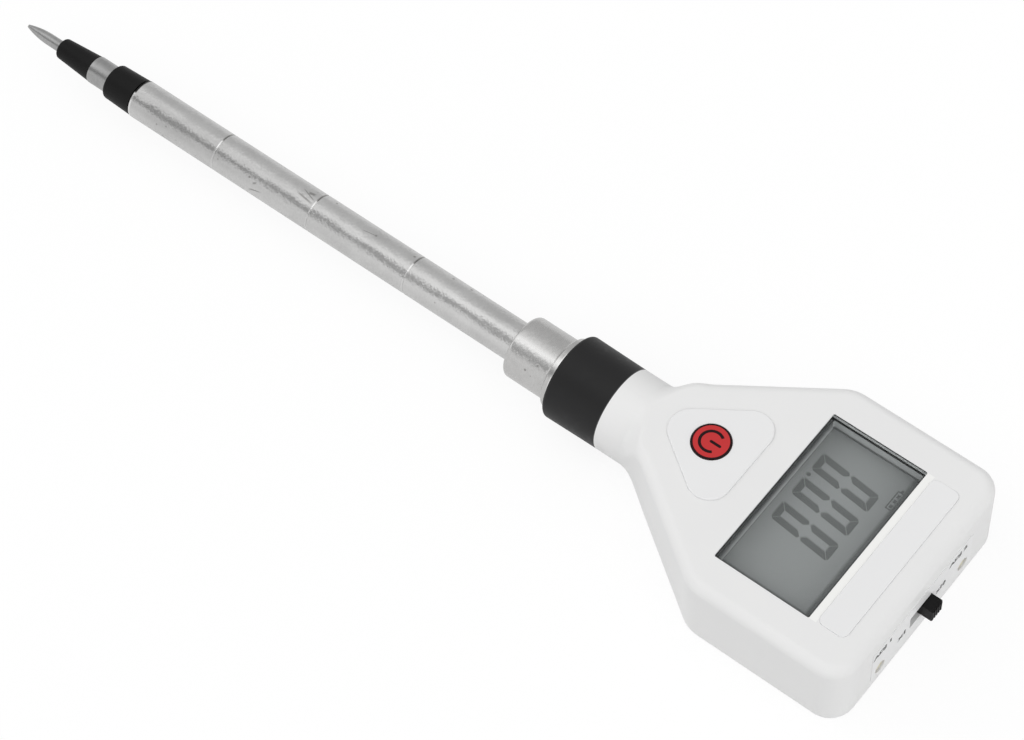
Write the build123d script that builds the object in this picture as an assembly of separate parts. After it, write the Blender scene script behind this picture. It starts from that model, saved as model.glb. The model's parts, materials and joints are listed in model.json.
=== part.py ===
from build123d import *
import os
from math import sqrt

# Soil conductivity meter: a white head with display, key and range switch on a metal probe.
# Millimetres. X runs along the probe axis from the tip to the head, Z is up out of the display.
# The origin lies on the probe axis where the tube leaves the ferrule.
# Head pieces are drawn with X counted from the front face of the neck, then moved into place.

# Clearances
GLUE_GAP = 0.03  # radial play of fixed round fits
COVER_GAP = 0.15  # line round the rear cover and the battery door
RUN_GAP = 0.05  # radial play of parts that turn
MOVE_GAP = 0.25  # play round the sliding knob
KEY_GAP = 0.12  # radial play of the key in its hole
PART_GAP = 0.1  # room between parts that only lie close

# Probe tube and electrodes
TUBE_R = 5.0
TUBE_WALL = 1.0
TUBE_L = 119.2
TUBE_SEAT = 8.0
TUBE_STEP = 0.25
TUBE_EDGE = 0.4
MARK_COUNT = 3
MARK_PITCH = 29.7
FIRST_MARK = 32.4
MARK_W = 0.7
MARK_DEPTH = 0.2
RING_SLEEVE_L = 8.6
RING_SLEEVE_FRONT_R = 4.6
RING_SLEEVE_REAR_R = 4.9
RING_SLEEVE_EDGE_R = 0.6
SLEEVE_PLUG_L = 8.0
RING_L = 6.0
RING_R = 3.6
TIP_SLEEVE_L = 11.3
TIP_SLEEVE_FRONT_R = 2.7
TIP_SLEEVE_REAR_R = 3.5
TIP_SLEEVE_EDGE_R = 0.7
CORE_R = 2.2
TIP_R = 1.5
TIP_L = 11.6
TIP_POINT_L = 7.5
TIP_NOSE_R = 0.4
TIP_STUB_L = 3.0
LEAD_R = 0.45

# Ferrule, collar and neck joint
FERRULE_R = 8.0
FERRULE_L = 11.35
FERRULE_EDGE_R = 1.2
COVE_R = 0.8
FLANGE_R = 9.1
FLANGE_RIM = 1.8
FLANGE_EDGE = 0.25
SPIGOT_R = 6.0
COLLAR_L = 14.9
COLLAR_FRONT_R = 10.9
COLLAR_EDGE_R = 0.8
SEAL_W = 1.5
BULKHEAD = 4.0
NUT_T = 4.0
NUT_SLOT_W = 2.5
NUT_SLOT_DEPTH = 1.2
NECK_WALL = 2.4

# Head moulding
NECK_R = 10.7
NECK_L = 7.4
BLEND_L = 9.2
EDGE_FADE_L = 6.4
BLEND_STEPS = (0, 0.25, 0.5, 0.75)
SHOULDER_X = 42.7
HEAD_W = 63.8
FACE_Z = 10.9
WALL = 2.4
RIM = 1.4
FACE_EDGE_R = 2.7
BACK_EDGE_R = 0.8
SHOULDER_R = 9.3
END_CORNER_R = 6.4
POST_R = 2.6

# Face: display window, key panel, bare strip
LCD_X = 43.07
LCD_L = 25.5
LCD_W = 45.5
LCD_CORNER_R = 0.4
LCD_DEPTH = 5.4
LCD_T = 1.5
LCD_BORDER = 1.0
WINDOW_T = 1.2
WINDOW_SINK = 0.05
WINDOW_GAP = 0.08
FRAME_WALL = 0.5
FRAME_LIP = 1.2
ZEBRA_W = 1.8
ZEBRA_H = 0.8
STRIP_GAP = 1.8
STRIP_W = 7.45
STRIP_L = 45.0
STRIP_R = 1.8
STRIP_SEAT = 0.3
STRIP_PROUD = 0.2
STRIP_EDGE_R = 0.18
END_MARGIN = 5.7
BUTTON_X = 25.55
BUTTON_R = 4.7
BUTTON_PROUD = 0.25
BUTTON_EDGE_R = 0.25
BUTTON_LIP = 1.0
BUTTON_LIP_T = 0.9
BUTTON_TRAVEL = 0.4
PANEL_FRONT = 15.4  # key centre to the point where the panel's sides would meet
PANEL_BACK = 10.6  # key centre to the panel's straight base
PANEL_R = 5.2
PANEL_TIP_R = 5.7
PANEL_SEAT = 0.4
PANEL_PROUD = 0.4
PANEL_EDGE_R = 0.35

# End face: range switch, trimmers, label
SWITCH_Y = -0.5
SWITCH_Z = -2.0
KNOB_W = 4.0
KNOB_H = 4.0
KNOB_OUT = 3.2
KNOB_TRAVEL = 4.0
KNOB_EDGE = 0.25
KNOB_RIDGES = 4
KNOB_RIDGE_W = 0.4
KNOB_RIDGE_DEPTH = 0.3
SLIDER_LIP_Y = 1.5
SLIDER_LIP_Z = 0.5
SLIDER_T = 1.3
SLOT_R = 0.5
SWITCH_DEPTH = 3.4
CAN_WALL = 0.4
TRIM_Y = 16.0
TRIM_Z = -5.0
TRIM_BODY = 6.4
TRIM_H = 3.0
TRIM_FLOOR = 1.0
TRIM_R = 1.5
TRIM_HOLE_GAP = 0.3
TRIM_SINK = 0.3
TRIM_SLOT_W = 0.5
TRIM_SLOT_DEPTH = 0.7
LABEL_L = 38.6
LABEL_H = 12.8
LABEL_T = 0.15
LABEL_R = 0.6

# Boards
BOARD_T = 1.0
BOARD_GAP = 0.3
BOARD_MARGIN = 1.5
BOSS_R = 2.2
CONTROL_BOSS_R = 1.9
TACT_SIZE = 6.0
TACT_FLOOR = 0.6
PLUNGER_R = 1.75
PLUNGER_SINK = 1.6
HEADER_PINS = 6
HEADER_PITCH = 2.54
HEADER_SIZE = 2.5
HEADER_PIN = 0.64
HEADER_TAIL = 1.2

# Battery box and door
CELL_R = 5.25
CELL_L = 44.5
CELL_NUB_L = 1.0
CELL_NUB_R = 1.9
CELL_GAP = 0.1
CELL_SPACE = 0.5
CONTACT_ROOM = 1.75
CONTACT_T = 0.3
CONTACT_W = 7.0
CONTACT_FOOT = 3.5
CONTACT_BEND = 2.2
BOX_WALL = 0.8
COVER_T = 2.2
DOOR_T = 1.3
DOOR_LEDGE = 1.6
DOOR_PIN_R = 0.35
DOOR_PIN_L = 1.8
DOOR_RIB_T = 1.2
DOOR_RIB_H = 2.0
DOOR_RIB_Y = 12.0
CATCH_W = 8.0
CATCH_T = 0.85
CATCH_H = 1.8
NOTCH_R = 6.0
NOTCH_DEPTH = 1.2
GRIP_COUNT = 3
GRIP_PITCH = 1.6
GRIP_W = 0.6
GRIP_L = 14.0
GRIP_DEPTH = 0.4

# Screws
CASE_SCREW_R = 1.05
CASE_SCREW_L = 10.0
CASE_HEAD_R = 2.3
CASE_HEAD_T = 1.2
HEAD_SINK = 0.2
BOARD_SCREW_R = 0.85
BOARD_SCREW_L = 3.2
BOARD_HEAD_R = 1.7
BOARD_HEAD_T = 1.2
DRIVE_W = 0.6
DRIVE_DEPTH = 0.6

# Positions along the probe
RING_SLEEVE_X = -TUBE_L - RING_SLEEVE_L
RING_X = RING_SLEEVE_X - RING_L
TIP_SLEEVE_X = RING_X - TIP_SLEEVE_L
TIP_X = TIP_SLEEVE_X - TIP_L
CORE_END_X = -TUBE_L + SLEEVE_PLUG_L
LEAD_OFFSET = (CORE_R + TUBE_R - TUBE_WALL) / 2
FLANGE_T = COVE_R + FLANGE_RIM
COLLAR_X = FERRULE_L + FLANGE_T
HEAD_X = COLLAR_X + COLLAR_L
NECK_BORE_R = NECK_R - NECK_WALL
SPIGOT_END = BULKHEAD + NUT_T + 1.0

# Plan of the head: the neck widens in a blend that meets the straight flare without a corner
FLARE_X = NECK_L + BLEND_L
FLARE_SLOPE = (HEAD_W / 2 - NECK_R) / (SHOULDER_X - NECK_L - BLEND_L / 2)
LCD_END = LCD_X + LCD_L
STRIP_X = LCD_END + STRIP_GAP
HEAD_L = STRIP_X + STRIP_W + END_MARGIN
INNER_END = HEAD_L - WALL
INNER_HALF = HEAD_W / 2 - WALL

# Heights through the head, from the face down to the back
CEILING_Z = FACE_Z - WALL
WINDOW_Z = FACE_Z - WINDOW_SINK - WINDOW_T
LCD_TOP = FACE_Z - LCD_DEPTH
LCD_BOTTOM = LCD_TOP - LCD_T
BOARD_TOP = LCD_BOTTOM - ZEBRA_H
BOARD_Z = BOARD_TOP - BOARD_T
BOX_TOP = BOARD_Z - BOARD_GAP
CELL_Z = BOX_TOP - BOX_WALL - PART_GAP - CELL_R
DOOR_TOP = CELL_Z - CELL_R - CELL_GAP
BACK_Z = DOOR_TOP - DOOR_T
COVER_TOP = BACK_Z + COVER_T
BUTTON_LIP_TOP = CEILING_Z - PART_GAP
PLUNGER_TOP = BUTTON_LIP_TOP - BUTTON_LIP_T
TACT_TOP = PLUNGER_TOP - BUTTON_TRAVEL - 2 * PART_GAP

# Boards and their fixings
CONTROL_FRONT = INNER_END - PART_GAP - SWITCH_DEPTH
CONTROL_BACK = CONTROL_FRONT - BOARD_T
CONTROL_HALF = TRIM_Y + TRIM_BODY / 2 + BOARD_MARGIN
CONTROL_BOTTOM = COVER_TOP + 4 * PART_GAP
CONTROL_TOP = CEILING_Z - BOARD_MARGIN
BOARD_END = CONTROL_BACK - BOARD_MARGIN
CAN_HALF_Y = (KNOB_W + KNOB_TRAVEL) / 2 + SLIDER_LIP_Y + MOVE_GAP + CAN_WALL
CAN_HALF_Z = KNOB_H / 2 + SLIDER_LIP_Z + MOVE_GAP + CAN_WALL
CONTROL_BOSS_Y = (CAN_HALF_Y + abs(SWITCH_Y) + TRIM_Y - TRIM_BODY / 2) / 2
HEADER_Z = BOARD_TOP + HEADER_SIZE / 2
KNOB_Y = SWITCH_Y + KNOB_TRAVEL / 2

# Battery box and door
BOX_X = LCD_X + LCD_L / 2
CELL_PITCH = 2 * CELL_R + CELL_SPACE
BOX_HALF_X = CELL_PITCH / 2 + CELL_R + CELL_SPACE / 2
BOX_HALF_Y = CELL_L / 2 + CONTACT_ROOM
HINGE_X = BOX_X - BOX_HALF_X - DOOR_LEDGE
HINGE_Z = BACK_Z + DOOR_T / 2
DOOR_END = BOX_X + BOX_HALF_X + DOOR_LEDGE
DOOR_HALF = BOX_HALF_Y + DOOR_LEDGE


def across(x):
    """Plane square to the probe axis, its own axes along Y and Z."""
    return Plane(origin=(x, 0, 0), x_dir=(0, 1, 0), z_dir=(1, 0, 0))


def block(x0, x1, y0, y1, z0, z1):
    """Block between two corners."""
    return Pos((x0 + x1) / 2, (y0 + y1) / 2, (z0 + z1) / 2) * Box(x1 - x0, y1 - y0, z1 - z0)


def rod_x(x0, x1, radius, y=0.0, z=0.0):
    """Round bar along X."""
    return Pos((x0 + x1) / 2, y, z) * Rot(0, 90, 0) * Cylinder(radius, x1 - x0)


def rod_y(y0, y1, radius, x, z):
    """Round bar along Y."""
    return Pos(x, (y0 + y1) / 2, z) * Rot(90, 0, 0) * Cylinder(radius, y1 - y0)


def rod_z(z0, z1, radius, x, y=0.0):
    """Round bar along Z."""
    return Pos(x, y, (z0 + z1) / 2) * Cylinder(radius, z1 - z0)


def plate(sketch, z0, z1):
    """A plan sketch made solid between two heights."""
    return Pos(0, 0, z0) * extrude(sketch, z1 - z0)


def end_plate(sketch, x0, x1):
    """A sketch in Y and Z made solid between two places along X."""
    return extrude(across(x0) * sketch, x1 - x0)


def outline(*points):
    """Face inside straight lines."""
    return make_face(Polyline(*points, close=True))


def rounded(face, corner, radius):
    """Round the corner of a face that lies nearest to a point."""
    return fillet(face.vertices().sort_by_distance(corner)[0], radius)


def turned(face):
    """Solid turned about the probe axis from an outline of lengths and radii."""
    return revolve(face, Axis.X)


def both_sides(y):
    """The two places that mirror each other across the middle plane."""
    return (-y, y)


def tip_electrode():
    """Steel rod with an ogive point."""
    shoulder = (TIP_X + TIP_POINT_L, TIP_R)
    nose = (TIP_X + TIP_NOSE_R / 2, TIP_NOSE_R)
    rear_x = CORE_END_X + TIP_STUB_L
    profile = TangentArc(shoulder, nose, tangent=(-1, 0))
    profile += Polyline(nose, (TIP_X, 0), (rear_x, 0), (rear_x, TIP_R), shoulder)
    return turned(make_face(profile))


def tip_insulator():
    """Tapered sleeve whose thinner core carries the ring and enters the second sleeve."""
    bore = TIP_R + GLUE_GAP
    face = outline(
        (TIP_SLEEVE_X, bore),
        (TIP_SLEEVE_X, TIP_SLEEVE_FRONT_R),
        (RING_X, TIP_SLEEVE_REAR_R),
        (RING_X, CORE_R),
        (CORE_END_X, CORE_R),
        (CORE_END_X, bore),
    )
    return turned(rounded(face, (TIP_SLEEVE_X, TIP_SLEEVE_FRONT_R), TIP_SLEEVE_EDGE_R))


def ring_electrode():
    """Steel ring on the core of the tip sleeve."""
    return rod_x(RING_X, RING_SLEEVE_X, RING_R) - rod_x(RING_X, RING_SLEEVE_X, CORE_R + GLUE_GAP)


def ring_insulator():
    """Second sleeve, plugged into the tube, with a hole for the ring's wire."""
    bore = CORE_R + GLUE_GAP
    plug = TUBE_R - TUBE_WALL - GLUE_GAP
    face = outline(
        (RING_SLEEVE_X, bore),
        (RING_SLEEVE_X, RING_SLEEVE_FRONT_R),
        (-TUBE_L, RING_SLEEVE_REAR_R),
        (-TUBE_L, plug),
        (CORE_END_X, plug),
        (CORE_END_X, bore),
    )
    sleeve = turned(rounded(face, (RING_SLEEVE_X, RING_SLEEVE_FRONT_R), RING_SLEEVE_EDGE_R))
    return sleeve - rod_x(RING_SLEEVE_X, CORE_END_X, LEAD_R + RUN_GAP, y=LEAD_OFFSET)


def probe_tube():
    """Tube with V-shaped ring marks at even spacing and a stepped end that seats in the ferrule."""
    tube = chamfer(rod_x(-TUBE_L, 0, TUBE_R).edges().sort_by(Axis.X)[0], TUBE_EDGE)
    tube += rod_x(0, TUBE_SEAT, TUBE_R - TUBE_STEP)
    tube -= rod_x(-TUBE_L, TUBE_SEAT, TUBE_R - TUBE_WALL)
    for i in range(MARK_COUNT):
        x = -FIRST_MARK - i * MARK_PITCH
        rim = TUBE_R + MARK_DEPTH
        tube -= turned(outline((x - MARK_W, rim), (x, TUBE_R - MARK_DEPTH), (x + MARK_W, rim)))
    return tube


def probe_ferrule():
    """Turned ferrule: round-edged barrel, cove, thin flange and hollow spigot."""
    flange_x = FERRULE_L + COVE_R
    spigot_x = HEAD_X + SPIGOT_END
    seat_r = TUBE_R - TUBE_STEP + GLUE_GAP
    face = outline(
        (0, seat_r),
        (0, FERRULE_R),
        (flange_x, FERRULE_R),
        (flange_x, FLANGE_R - FLANGE_EDGE),
        (flange_x + FLANGE_EDGE, FLANGE_R),
        (COLLAR_X - FLANGE_EDGE, FLANGE_R),
        (COLLAR_X, FLANGE_R - FLANGE_EDGE),
        (COLLAR_X, SPIGOT_R),
        (spigot_x, SPIGOT_R),
        (spigot_x, TUBE_R - TUBE_WALL),
        (TUBE_SEAT, TUBE_R - TUBE_WALL),
        (TUBE_SEAT, seat_r),
    )
    face = rounded(face, (0, FERRULE_R), FERRULE_EDGE_R)
    return turned(rounded(face, (flange_x, FERRULE_R), COVE_R))


def grip_collar():
    """Slightly tapered collar with a round front edge and a groove for the seal behind."""
    bore = SPIGOT_R + GLUE_GAP
    face = outline((COLLAR_X, bore), (COLLAR_X, COLLAR_FRONT_R), (HEAD_X, NECK_R), (HEAD_X, bore))
    collar = turned(rounded(face, (COLLAR_X, COLLAR_FRONT_R), COLLAR_EDGE_R))
    return collar - seal_ring(GLUE_GAP)


def seal_ring(grow):
    """Square ring midway across the collar's wall, in front of the neck."""
    middle = (SPIGOT_R + NECK_R) / 2
    half = SEAL_W / 2 + grow
    x0 = HEAD_X - SEAL_W - grow
    return rod_x(x0, HEAD_X, middle + half) - rod_x(x0, HEAD_X, middle - half)


def neck_seal():
    """Seal ring between collar and neck."""
    return seal_ring(0)


def probe_nut():
    """Slotted ring nut that holds the spigot inside the neck."""
    radius = NECK_BORE_R - 4 * PART_GAP
    x0 = HEAD_X + BULKHEAD
    nut = rod_x(x0, x0 + NUT_T, radius) - rod_x(x0, x0 + NUT_T, SPIGOT_R + GLUE_GAP)
    end = x0 + NUT_T
    return nut - block(end - NUT_SLOT_DEPTH, end, -radius, radius, -NUT_SLOT_W / 2, NUT_SLOT_W / 2)


def lead(x0, y):
    """Wire along the probe that turns up to the main board's underside."""
    pad_x = HEAD_X + board_tip_x() + BOARD_MARGIN + 2 * LEAD_R
    bend = 3 * LEAD_R
    path = FilletPolyline((x0, y, 0), (pad_x, y, 0), (pad_x, y, BOARD_Z), radius=bend)
    return sweep(Plane(origin=(x0, y, 0), z_dir=(1, 0, 0)) * Circle(LEAD_R), path)


def flare_half(x):
    """Outer half width of the head along its flare."""
    return HEAD_W / 2 - FLARE_SLOPE * (SHOULDER_X - x)


def inner_half(x):
    """Half width of the room inside the flare."""
    return flare_half(x) - WALL * sqrt(1 + FLARE_SLOPE**2)


def head_plan(start_x):
    """Plan of the head behind the neck: flare, shoulders, parallel sides, round end corners."""
    side = HEAD_W / 2
    start = flare_half(start_x)
    face = outline(
        (start_x, -start), (SHOULDER_X, -side), (HEAD_L, -side),
        (HEAD_L, side), (SHOULDER_X, side), (start_x, start),
    )
    for y in both_sides(side):
        face = rounded(face, (SHOULDER_X, y), SHOULDER_R)
        face = rounded(face, (HEAD_L, y), END_CORNER_R)
    return face


def inset_plan(inset):
    """Plan of the head moved in from the outside by an even distance."""
    return offset(head_plan(FLARE_X), amount=-inset)


def head_slab():
    """Flared head with its soft face edge, cut square where the neck blend ends."""
    body = plate(head_plan(FLARE_X - BLEND_L / 2), BACK_Z, FACE_Z)
    face_edges = body.faces().sort_by(Axis.Z)[-1].edges().sort_by(Axis.X)[1:]
    body = fillet(face_edges, FACE_EDGE_R)
    back_edges = body.faces().sort_by(Axis.Z)[0].edges().sort_by(Axis.X)[1:]
    body = fillet(back_edges, BACK_EDGE_R)
    return split(body, Plane(origin=(FLARE_X, 0, 0), z_dir=(1, 0, 0)), keep=Keep.TOP)


def eased(t):
    """Soft passage from 0 to 1 that stays at 1."""
    t = min(t, 1)
    return t * t * (3 - 2 * t)


def blend_section(run):
    """Cross-section some way behind the neck: round at first, then wider with tighter corners."""
    half = NECK_R + FLARE_SLOPE * run**2 / (2 * BLEND_L)
    back = eased(run / BLEND_L)
    front = eased(run / EDGE_FADE_L)
    top = NECK_R + (FACE_Z - NECK_R) * front
    bottom = -NECK_R + (BACK_Z + NECK_R) * back
    round_r = NECK_R - GLUE_GAP
    face = outline((half, bottom), (half, top), (-half, top), (-half, bottom))
    for y in both_sides(half):
        face = rounded(face, (y, top), round_r + (FACE_EDGE_R - round_r) * front)
        face = rounded(face, (y, bottom), round_r + (BACK_EDGE_R - round_r) * back)
    return across(NECK_L + run) * face


def head_block():
    """Outer form of the head: round neck, blend and flared slab in one."""
    slab = head_slab()
    sections = [blend_section(BLEND_L * t).face() for t in BLEND_STEPS]
    blend = loft([*sections, slab.faces().sort_by(Axis.X)[0]])
    return extrude(sections[0], -NECK_L) + blend + slab


def lcd_rect(grow, corner_r):
    """Plan of the display window, grown all round."""
    rect = RectangleRounded(LCD_L + 2 * grow, LCD_W + 2 * grow, corner_r)
    return Pos(LCD_X + LCD_L / 2, 0, 0) * rect


def strip_rect(shrink):
    """Plan of the bare strip beside the display."""
    rect = RectangleRounded(STRIP_W - 2 * shrink, STRIP_L - 2 * shrink, STRIP_R - shrink)
    return Pos(STRIP_X + STRIP_W / 2, 0, 0) * rect


def panel_plan(shrink):
    """Rounded triangle round the key, its sides parallel to the flare."""
    half = (PANEL_FRONT + PANEL_BACK) * FLARE_SLOPE
    base_x = BUTTON_X + PANEL_BACK
    tip = (BUTTON_X - PANEL_FRONT, 0)
    face = outline(tip, (base_x, -half), (base_x, half))
    face = rounded(face, tip, PANEL_TIP_R)
    for y in both_sides(half):
        face = rounded(face, (base_x, y), PANEL_R)
    return offset(face, amount=-shrink) if shrink else face


def knob_slot():
    """Opening of the slide knob in Y and Z."""
    length = KNOB_W + KNOB_TRAVEL + 2 * MOVE_GAP
    return Pos(SWITCH_Y, SWITCH_Z) * RectangleRounded(length, KNOB_H + 2 * MOVE_GAP, SLOT_R)


def end_openings(x0, x1):
    """Slot and trimmer holes of the end face."""
    tools = end_plate(knob_slot(), x0, x1)
    for y in both_sides(TRIM_Y):
        tools += rod_x(x0, x1, TRIM_R + TRIM_HOLE_GAP, y, TRIM_Z)
    return tools


def post_places():
    """Plan positions of the case screws: two beside the key, two in the end corners."""
    front_x = BUTTON_X - BOARD_MARGIN
    front_y = inner_half(front_x) - POST_R - BOARD_MARGIN
    end_x = INNER_END - POST_R - 5 * PART_GAP
    end_y = INNER_HALF - POST_R - 5 * PART_GAP
    return [(x, y) for x, side in ((front_x, front_y), (end_x, end_y)) for y in both_sides(side)]


def boss_places():
    """Plan positions of the main board's screws, in its corners before and behind the display."""
    front_x = LCD_X - LCD_BORDER - BOSS_R - BOARD_MARGIN
    front_y = inner_half(front_x) - BOSS_R - 2 * BOARD_MARGIN
    end_y = INNER_HALF - BOARD_MARGIN - BOSS_R
    end_x = BOARD_END - BOSS_R
    return [(x, y) for x, side in ((front_x, front_y), (end_x, end_y)) for y in both_sides(side)]


def control_boss_places():
    """Places in Y and Z of the control board's screws, between switch and trimmers."""
    return [(y, TRIM_Z) for y in both_sides(CONTROL_BOSS_Y)]


def front_shell():
    """Head tub: neck, face and side walls, with posts inside and openings for all that shows."""
    shell = head_block()
    shell -= plate(inset_plan(WALL), BACK_Z, CEILING_Z)
    shell -= plate(inset_plan(RIM), BACK_Z, COVER_TOP)
    shell -= rod_x(0, BULKHEAD, SPIGOT_R + GLUE_GAP)
    shell -= rod_x(BULKHEAD, FLARE_X + 2 * WALL, NECK_BORE_R)
    for x, y in post_places():
        shell += rod_z(COVER_TOP, CEILING_Z + WALL / 2, POST_R, x, y)
        shell -= rod_z(COVER_TOP, COVER_TOP + CASE_SCREW_L, CASE_SCREW_R + GLUE_GAP, x, y)
    for x, y in boss_places():
        shell += rod_z(BOARD_TOP, CEILING_Z + WALL / 2, BOSS_R, x, y)
        shell -= rod_z(BOARD_TOP, BOARD_TOP + BOARD_SCREW_L, BOARD_SCREW_R + GLUE_GAP, x, y)
    for y, z in control_boss_places():
        shell += rod_x(CONTROL_FRONT, INNER_END + WALL / 2, CONTROL_BOSS_R, y, z)
        pilot = CONTROL_FRONT + BOARD_SCREW_L
        shell -= rod_x(CONTROL_FRONT, pilot, BOARD_SCREW_R + GLUE_GAP, y, z)
    shell -= plate(lcd_rect(0, LCD_CORNER_R), CEILING_Z, FACE_Z)
    shell -= plate(panel_plan(0), FACE_Z - PANEL_SEAT, FACE_Z + PANEL_PROUD)
    shell -= rod_z(CEILING_Z, FACE_Z + PANEL_PROUD, BUTTON_R + KEY_GAP, BUTTON_X)
    shell -= plate(strip_rect(0), FACE_Z - STRIP_SEAT, FACE_Z)
    return shell - end_openings(INNER_END, HEAD_L)


def box_plan(grow):
    """Plan of the battery box, grown all round."""
    return Pos(BOX_X, 0) * Rectangle(2 * (BOX_HALF_X + grow), 2 * (BOX_HALF_Y + grow))


def rear_cover():
    """Back plate with the battery box, the door's recess and hinge sockets, and screw seats."""
    cover = plate(inset_plan(RIM + COVER_GAP), BACK_Z, COVER_TOP)
    cover += plate(box_plan(BOX_WALL), BACK_Z, BOX_TOP)
    cover -= plate(box_plan(0), BACK_Z, BOX_TOP - BOX_WALL)
    recess_end = DOOR_END + COVER_GAP
    recess_half = DOOR_HALF + COVER_GAP
    recess_x = HINGE_X - DOOR_T / 2 - COVER_GAP
    cover -= block(recess_x, recess_end, -recess_half, recess_half, BACK_Z, DOOR_TOP + PART_GAP)
    socket_half = DOOR_HALF + DOOR_PIN_L + COVER_GAP
    cover -= rod_y(-socket_half, socket_half, DOOR_PIN_R + RUN_GAP, HINGE_X, HINGE_Z)
    notch_z = BACK_Z - NOTCH_R + NOTCH_DEPTH
    cover -= Pos(recess_end, 0, notch_z) * Sphere(NOTCH_R)
    for x, y in post_places():
        cover -= rod_z(BACK_Z, COVER_TOP, CASE_SCREW_R + 2 * KEY_GAP, x, y)
        cover -= rod_z(BACK_Z, BACK_Z + CASE_HEAD_T + HEAD_SINK, CASE_HEAD_R + MOVE_GAP, x, y)
    for x in cell_places():
        half = CONTACT_W / 2 + PART_GAP
        slot_y = -BOX_HALF_Y
        top_slot = (slot_y, slot_y + CONTACT_T + 2 * PART_GAP)
        cover -= block(x - half, x + half, *top_slot, BOX_TOP - BOX_WALL, BOX_TOP)
    return cover


def cell_places():
    """Places along X of the two cells."""
    return (BOX_X - CELL_PITCH / 2, BOX_X + CELL_PITCH / 2)


def battery_door():
    """Door with a round hinge edge and pins, saddle ribs for the cells, a catch and grip grooves."""
    door = block(HINGE_X, DOOR_END, -DOOR_HALF, DOOR_HALF, BACK_Z, DOOR_TOP)
    door += rod_y(-DOOR_HALF, DOOR_HALF, DOOR_T / 2, HINGE_X, HINGE_Z)
    pin_half = DOOR_HALF + DOOR_PIN_L
    door += rod_y(-pin_half, pin_half, DOOR_PIN_R, HINGE_X, HINGE_Z)
    rib_half_x = CELL_PITCH / 2 + CELL_R / 2
    for y in both_sides(DOOR_RIB_Y):
        rib_y = (y - DOOR_RIB_T / 2, y + DOOR_RIB_T / 2)
        rib = block(BOX_X - rib_half_x, BOX_X + rib_half_x, *rib_y, DOOR_TOP, DOOR_TOP + DOOR_RIB_H)
        for x in cell_places():
            rib -= rod_y(*rib_y, CELL_R + MOVE_GAP, x, CELL_Z)
        door += rib
    for i in range(GRIP_COUNT):
        x = DOOR_END - (i + 2) * GRIP_PITCH
        groove_y = (-GRIP_L / 2, GRIP_L / 2)
        door -= block(x - GRIP_W / 2, x + GRIP_W / 2, *groove_y, BACK_Z, BACK_Z + GRIP_DEPTH)
    catch_x = BOX_X + BOX_HALF_X - 2 * MOVE_GAP
    catch_y = CATCH_W / 2
    catch_top = DOOR_TOP + CATCH_H
    return door + block(catch_x - CATCH_T, catch_x, -catch_y, catch_y, DOOR_TOP, catch_top)


def battery_cells():
    """Two cells side by side, pointing opposite ways."""
    half = CELL_L / 2
    cells = []
    for x, turn in zip(cell_places(), (1, -1)):
        can = rod_y(-half, half - CELL_NUB_L, CELL_R, 0, 0)
        can += rod_y(half - CELL_NUB_L, half, CELL_NUB_R, 0, 0)
        cells.append(Pos(x, 0, CELL_Z) * Rot(0, 0, 90 - 90 * turn) * can)
    return Compound(cells)


def contact_leaf(x, width, side, top_z):
    """Leaf contact: flat against the box's end wall, with a bend that reaches the cell."""
    wall_y = BOX_HALF_Y
    ridge_y = CELL_L / 2 + GLUE_GAP + CONTACT_T
    path = [
        (wall_y, CELL_Z - CONTACT_FOOT),
        (wall_y, CELL_Z - CONTACT_BEND),
        (ridge_y, CELL_Z),
        (wall_y, CELL_Z + CONTACT_BEND),
        (wall_y, top_z),
    ]
    inner = [(y - CONTACT_T, z) for y, z in reversed(path)]
    face = outline(*[(side * y, z) for y, z in path + inner])
    return end_plate(face, x - width / 2, x + width / 2)


def lcd_window():
    """Clear window, almost flush in the face."""
    return plate(lcd_rect(-WINDOW_GAP, LCD_CORNER_R - WINDOW_GAP), WINDOW_Z, WINDOW_Z + WINDOW_T)


def lcd_frame():
    """Dark frame that lines the opening under the window and keeps the display in place."""
    frame = plate(lcd_rect(-WINDOW_GAP, LCD_CORNER_R - WINDOW_GAP), LCD_TOP, WINDOW_Z)
    frame += plate(lcd_rect(FRAME_LIP, LCD_CORNER_R), LCD_TOP, CEILING_Z)
    return frame - plate(lcd_rect(-WINDOW_GAP - FRAME_WALL, FRAME_WALL / 2), LCD_TOP, WINDOW_Z)


def lcd_glass():
    """Display cell behind the window."""
    return plate(lcd_rect(LCD_BORDER, LCD_CORNER_R), LCD_BOTTOM, LCD_TOP)


def zebra_strips():
    """Rubber connector strips along the display's two long edges."""
    half = LCD_W / 2
    starts = (LCD_X - LCD_BORDER, LCD_END + LCD_BORDER - ZEBRA_W)
    return Compound([block(x, x + ZEBRA_W, -half, half, BOARD_TOP, LCD_BOTTOM) for x in starts])


def board_tip_x():
    """Front end of the main board's tongue under the key."""
    return BUTTON_X - TACT_SIZE / 2 - 2 * BOARD_MARGIN


def main_board():
    """Board under the display, with a tongue under the key and edges that follow the flare."""
    body_x = LCD_X - LCD_BORDER - 2 * BOSS_R - BOARD_MARGIN
    tongue = post_places()[1][1] - POST_R - BOARD_MARGIN / 2
    wide = Pos((body_x + BOARD_END) / 2, 0) * Rectangle(BOARD_END - body_x, HEAD_W)
    tip_x = board_tip_x()
    narrow = Pos((tip_x + body_x) / 2, 0) * Rectangle(body_x - tip_x, 2 * tongue)
    board = plate(wide + narrow, BOARD_Z, BOARD_TOP)
    board &= plate(inset_plan(WALL + BOARD_MARGIN), BOARD_Z, BOARD_TOP)
    for x, y in boss_places():
        board -= rod_z(BOARD_Z, BOARD_TOP, BOARD_SCREW_R + PART_GAP, x, y)
    return board


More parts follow.
